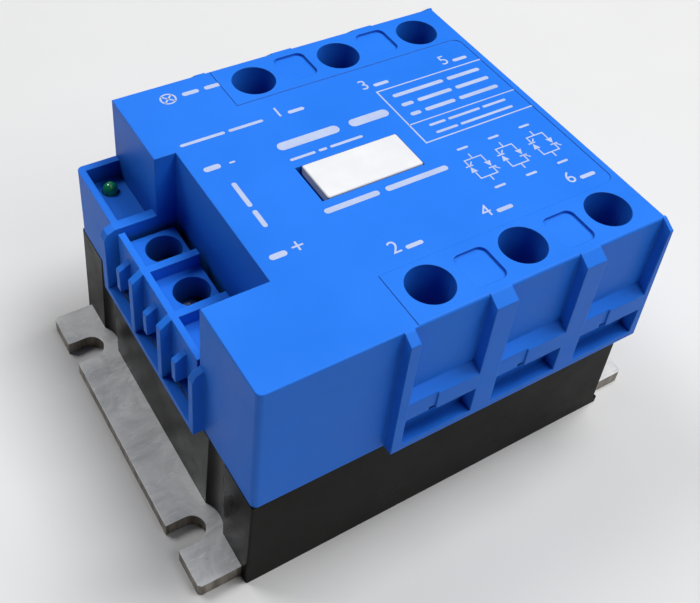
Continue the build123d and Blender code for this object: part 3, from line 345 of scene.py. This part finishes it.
def ribbon(mesh, points, width, closed=False):
    """Adds a flat line of even width through (x, y) points in mm, with mitred corners."""
    spots = [Vector(point) for point in points]
    runs = [(after - before).normalized() for before, after in zip(spots, spots[1:] + spots[:1])]
    last = len(spots) if closed else len(spots) - 1
    pairs = []
    for i, spot in enumerate(spots):
        meeting = (runs[i - 1], runs[i]) if closed else (runs[max(i - 1, 0)], runs[min(i, last - 1)])
        normals = [Vector((-run.y, run.x)) for run in meeting]
        mitre = (normals[0] + normals[1]).normalized()
        reach = width / 2 / max(MITRE_LIMIT, mitre.dot(normals[0]))
        pairs.append([mesh.verts.new((*(spot + side * reach * mitre), 0)) for side in (1, -1)])
    for i in range(last):
        a, b = pairs[i], pairs[(i + 1) % len(pairs)]
        mesh.faces.new((a[0], a[1], b[1], b[0]))


def patch(mesh, x, y, width, height):
    """Adds a flat bar with round ends, centred on (x, y)."""
    radius = min(width, height) / 2
    outline = []
    for quarter, (sx, sy) in enumerate(((1, 1), (-1, 1), (-1, -1), (1, -1))):
        for i in range(CORNER_STEPS + 1):
            angle = math.pi / 2 * (quarter + i / CORNER_STEPS)
            outline.append((x + sx * (width / 2 - radius) + radius * math.cos(angle),
                            y + sy * (height / 2 - radius) + radius * math.sin(angle)))
    mesh.faces.new([mesh.verts.new((px, py, 0)) for px, py in outline])


def ring(mesh, x, y, radius, width, steps=36):
    turns = [2 * math.pi * i / steps for i in range(steps)]
    points = [(x + radius * math.cos(turn), y + radius * math.sin(turn)) for turn in turns]
    ribbon(mesh, points, width, closed=True)


def triangle(mesh, x, y, size, direction):
    """Adds a filled triangle that points up (1) or down (-1)."""
    half = size / 2
    foot_y, tip_y = y - direction * half, y + direction * half
    corners = [(x - half, foot_y), (x + half, foot_y), (x, tip_y)][::direction]
    mesh.faces.new([mesh.verts.new((px, py, 0)) for px, py in corners])


def word_line(mesh, start, end, across, height, words, upright=False):
    """Adds plain bars in place of a line of words, their lengths as the shares in words."""
    gap = height * 0.55
    free = end - start - gap * (len(words) - 1)
    at = start
    for share in words:
        length = free * share / sum(words)
        centre = at + length / 2
        if upright:
            patch(mesh, across, centre, height / 2, length)
        else:
            patch(mesh, centre, across, length, height / 2)
        at += length + gap


def digits(mesh, text, x, y, height):
    """Adds digits or signs in the built-in sans face, centred on (x, y)."""
    curve = bpy.data.curves.new("digits", "FONT")
    curve.body = text
    curve.size = height / CAP_HEIGHT
    curve.align_x, curve.align_y = "CENTER", "CENTER"
    holder = bpy.data.objects.new("digits", curve)
    bpy.context.scene.collection.objects.link(holder)
    bpy.context.view_layer.update()
    ready = holder.evaluated_get(bpy.context.evaluated_depsgraph_get())
    flat = bpy.data.meshes.new_from_object(ready)
    flat.transform(Matrix.Translation((x, y, 0)))
    mesh.from_mesh(flat)
    bpy.data.objects.remove(holder)
    bpy.data.meshes.remove(flat)


def thyristor_pair(mesh, x, top_y):
    """Adds the circuit symbol of one phase: two thyristors side by side, pointing opposite ways."""
    half = SYMBOL_LINE / 2
    top = top_y - SYMBOL_LEAD
    low = top - SYMBOL_HEIGHT
    for rail_y, lead_end in ((top, top_y), (low, low - SYMBOL_LEAD)):
        toward = math.copysign(half, lead_end - rail_y)
        ribbon(mesh, [(x - SYMBOL_REACH - half, rail_y), (x + SYMBOL_REACH + half, rail_y)], SYMBOL_LINE)
        ribbon(mesh, [(x, rail_y + toward), (x, lead_end)], SYMBOL_LINE)
    middle = (top + low) / 2
    for side in (-1, 1):
        at = x + side * SYMBOL_REACH
        base_rail, bar_rail = (top, low) if side > 0 else (low, top)
        base_y = middle + side * (ARROW_SIZE / 2 + ARROW_GAP)
        bar_y = middle - side * (ARROW_SIZE / 2 + ARROW_GAP + half)
        bar_edge_y = bar_y - side * half
        triangle(mesh, at, middle, ARROW_SIZE, -side)
        ribbon(mesh, [(at - ARROW_BAR_HALF, bar_y), (at + ARROW_BAR_HALF, bar_y)], SYMBOL_LINE)
        for start, rail in ((base_y, base_rail), (bar_edge_y, bar_rail)):
            ribbon(mesh, [(at, start), (at, rail + math.copysign(half, start - rail))], SYMBOL_LINE)
        gate = [(at + GATE_FROM, bar_edge_y), (at + GATE_TO, bar_y - side * GATE_RISE)]
        ribbon(mesh, gate, SYMBOL_LINE)


def finish_print(mesh, name, z, material, body):
    """Turns flat marks into one thin piece that lies on a surface at height z."""
    bmesh.ops.transform(mesh, matrix=Matrix.Translation((0, 0, z - PRINT_SUNK)), verts=mesh.verts)
    bmesh.ops.recalc_face_normals(mesh, faces=mesh.faces)
    flat = list(mesh.faces)
    made = bmesh.ops.extrude_face_region(mesh, geom=flat)
    raised = [g for g in made["geom"] if isinstance(g, bmesh.types.BMVert)]
    bmesh.ops.translate(mesh, verts=raised, vec=(0, 0, PRINT_SUNK + PRINT_THICK))
    bmesh.ops.scale(mesh, vec=(MM, MM, MM), verts=mesh.verts)
    bmesh.ops.recalc_face_normals(mesh, faces=mesh.faces)
    data = bpy.data.meshes.new(name)
    mesh.to_mesh(data)
    mesh.free()
    data.materials.append(material)
    piece = bpy.data.objects.new(name, data)
    bpy.context.scene.collection.objects.link(piece)
    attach(piece, body)


def centre_of(node):
    low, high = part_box(node)
    return (low + high) / 2 / MM


def print_label(ink):
    """Terminal numbers, signs, bars for lines of words, rating frame and circuit symbols."""
    marks = bmesh.new()
    bar_x, bar_y = DIGIT_BAR_SHIFT
    for phase in (1, 2, 3):
        x = centre_of(f"terminal_screw_T{phase}").x
        for number, y in ((2 * phase - 1, LINE_L_Y), (2 * phase, LINE_T_Y)):
            digits(marks, str(number), x + DIGIT_SHIFT, y, DIGIT_HEIGHT)
            patch(marks, x + bar_x, y + bar_y, *DIGIT_BAR)
    for sign, node, shift in SIGNS:
        y = centre_of(node).y + shift
        digits(marks, sign, SIGN_X, y, SIGN_HEIGHT)
        patch(marks, SIGN_BAR_X, y - SIGN_BAR_DROP, *SIGN_BAR)

    # lamp sign, in place of words beside the lamp pocket
    ring(marks, LAMP_SIGN_X, LAMP_SIGN_Y, LAMP_SIGN_RADIUS, LAMP_SIGN_LINE)
    arm = LAMP_SIGN_RADIUS * math.sqrt(0.5)
    for slope in (1, -1):
        ends = [(LAMP_SIGN_X + way * arm, LAMP_SIGN_Y + way * slope * arm) for way in (-1, 1)]
        ribbon(marks, ends, LAMP_SIGN_LINE)

    for line in WORD_LINES:
        word_line(marks, *line)
    word_line(marks, *UPRIGHT_WORDS, upright=True)

    left, right, low, high = FRAME
    ribbon(marks, [(left, low), (right, low), (right, high), (left, high)], FRAME_LINE, closed=True)
    ribbon(marks, [(left, FRAME_DIVIDER_Y), (right, FRAME_DIVIDER_Y)], FRAME_DIVIDER_LINE)

    half, height = SYMBOL_CAPTION
    for x in SYMBOL_X:
        thyristor_pair(marks, x, SYMBOL_TOP_Y)
        for y in SYMBOL_CAPTION_Y:
            word_line(marks, x - half, x + half, y, height, (1,))
    _, cover_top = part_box("top_cover")
    finish_print(marks, "label_print", cover_top.z / MM - LABEL_DEPTH, ink, "root")


# ---------------------------------------------------------------- floor and light
FLOOR_HALF = 3.0
FLOOR_TONES = (0.65, 0.65, 0.65), (0.68, 0.68, 0.68)
AIM = Vector((0, 0, 0.03))
WORLD_STRENGTH = 0.03
LIGHTS = {                  # place, width and height, watts
    "key": ((0.38, -0.06, 0.98), (0.45, 0.45), 9.3),
    "left_top": ((-0.32, 0.52, 0.92), (0.40, 0.40), 4.4),
    "back_fill": ((0.10, 1.10, 0.60), (0.8, 0.6), 1.4),
    "front_soft": ((0.28, -0.62, 0.82), (0.45, 0.45), 2.3),
}


def floor():
    data = bpy.data.meshes.new("floor")
    low, _ = cad_box
    sides = ((-1, -1), (1, -1), (1, 1), (-1, 1))
    data.from_pydata([(x * FLOOR_HALF, y * FLOOR_HALF, low.z) for x, y in sides], [], [(0, 1, 2, 3)])
    piece = bpy.data.objects.new("floor", data)
    bpy.context.scene.collection.objects.link(piece)
    material = bpy.data.materials.new("pale_floor")
    material.use_nodes = True
    tree = material.node_tree
    shader = tree.nodes["Principled BSDF"]
    darker, paler = FLOOR_TONES
    tone = blend_colour(tree, noise(tree, 60.0, 3.0), rgba(darker), rgba(paler))
    tree.links.new(tone, shader.inputs["Base Color"])
    shader.inputs["Roughness"].default_value = 0.75
    data.materials.append(material)


def area_light(name, at, size, power):
    data = bpy.data.lights.new(name, "AREA")
    data.shape = "RECTANGLE"
    data.size, data.size_y = size
    data.energy = power
    light = bpy.data.objects.new(name, data)
    light.location = at
    light.rotation_mode = "QUATERNION"
    light.rotation_quaternion = (AIM - Vector(at)).to_track_quat("-Z", "Y")
    bpy.context.scene.collection.objects.link(light)


def studio():
    for name, light in LIGHTS.items():
        area_light(name, *light)
    world = bpy.data.worlds.new("studio")
    world.use_nodes = True
    backdrop = world.node_tree.nodes["Background"]
    backdrop.inputs["Color"].default_value = (1.0, 1.0, 1.0, 1.0)
    backdrop.inputs["Strength"].default_value = WORLD_STRENGTH
    bpy.context.scene.world = world
    bpy.context.scene.view_settings.view_transform = "Standard"


# ---------------------------------------------------------------- build
add_camera()
dress_nodes(build_materials())
print_label(surface("label_ink", PRINT, PRINT_PALE, (0.42, 0.52), patch_mm=5.0, grain_depth=0.002,
                    edge_mm=0.02))
floor()
studio()
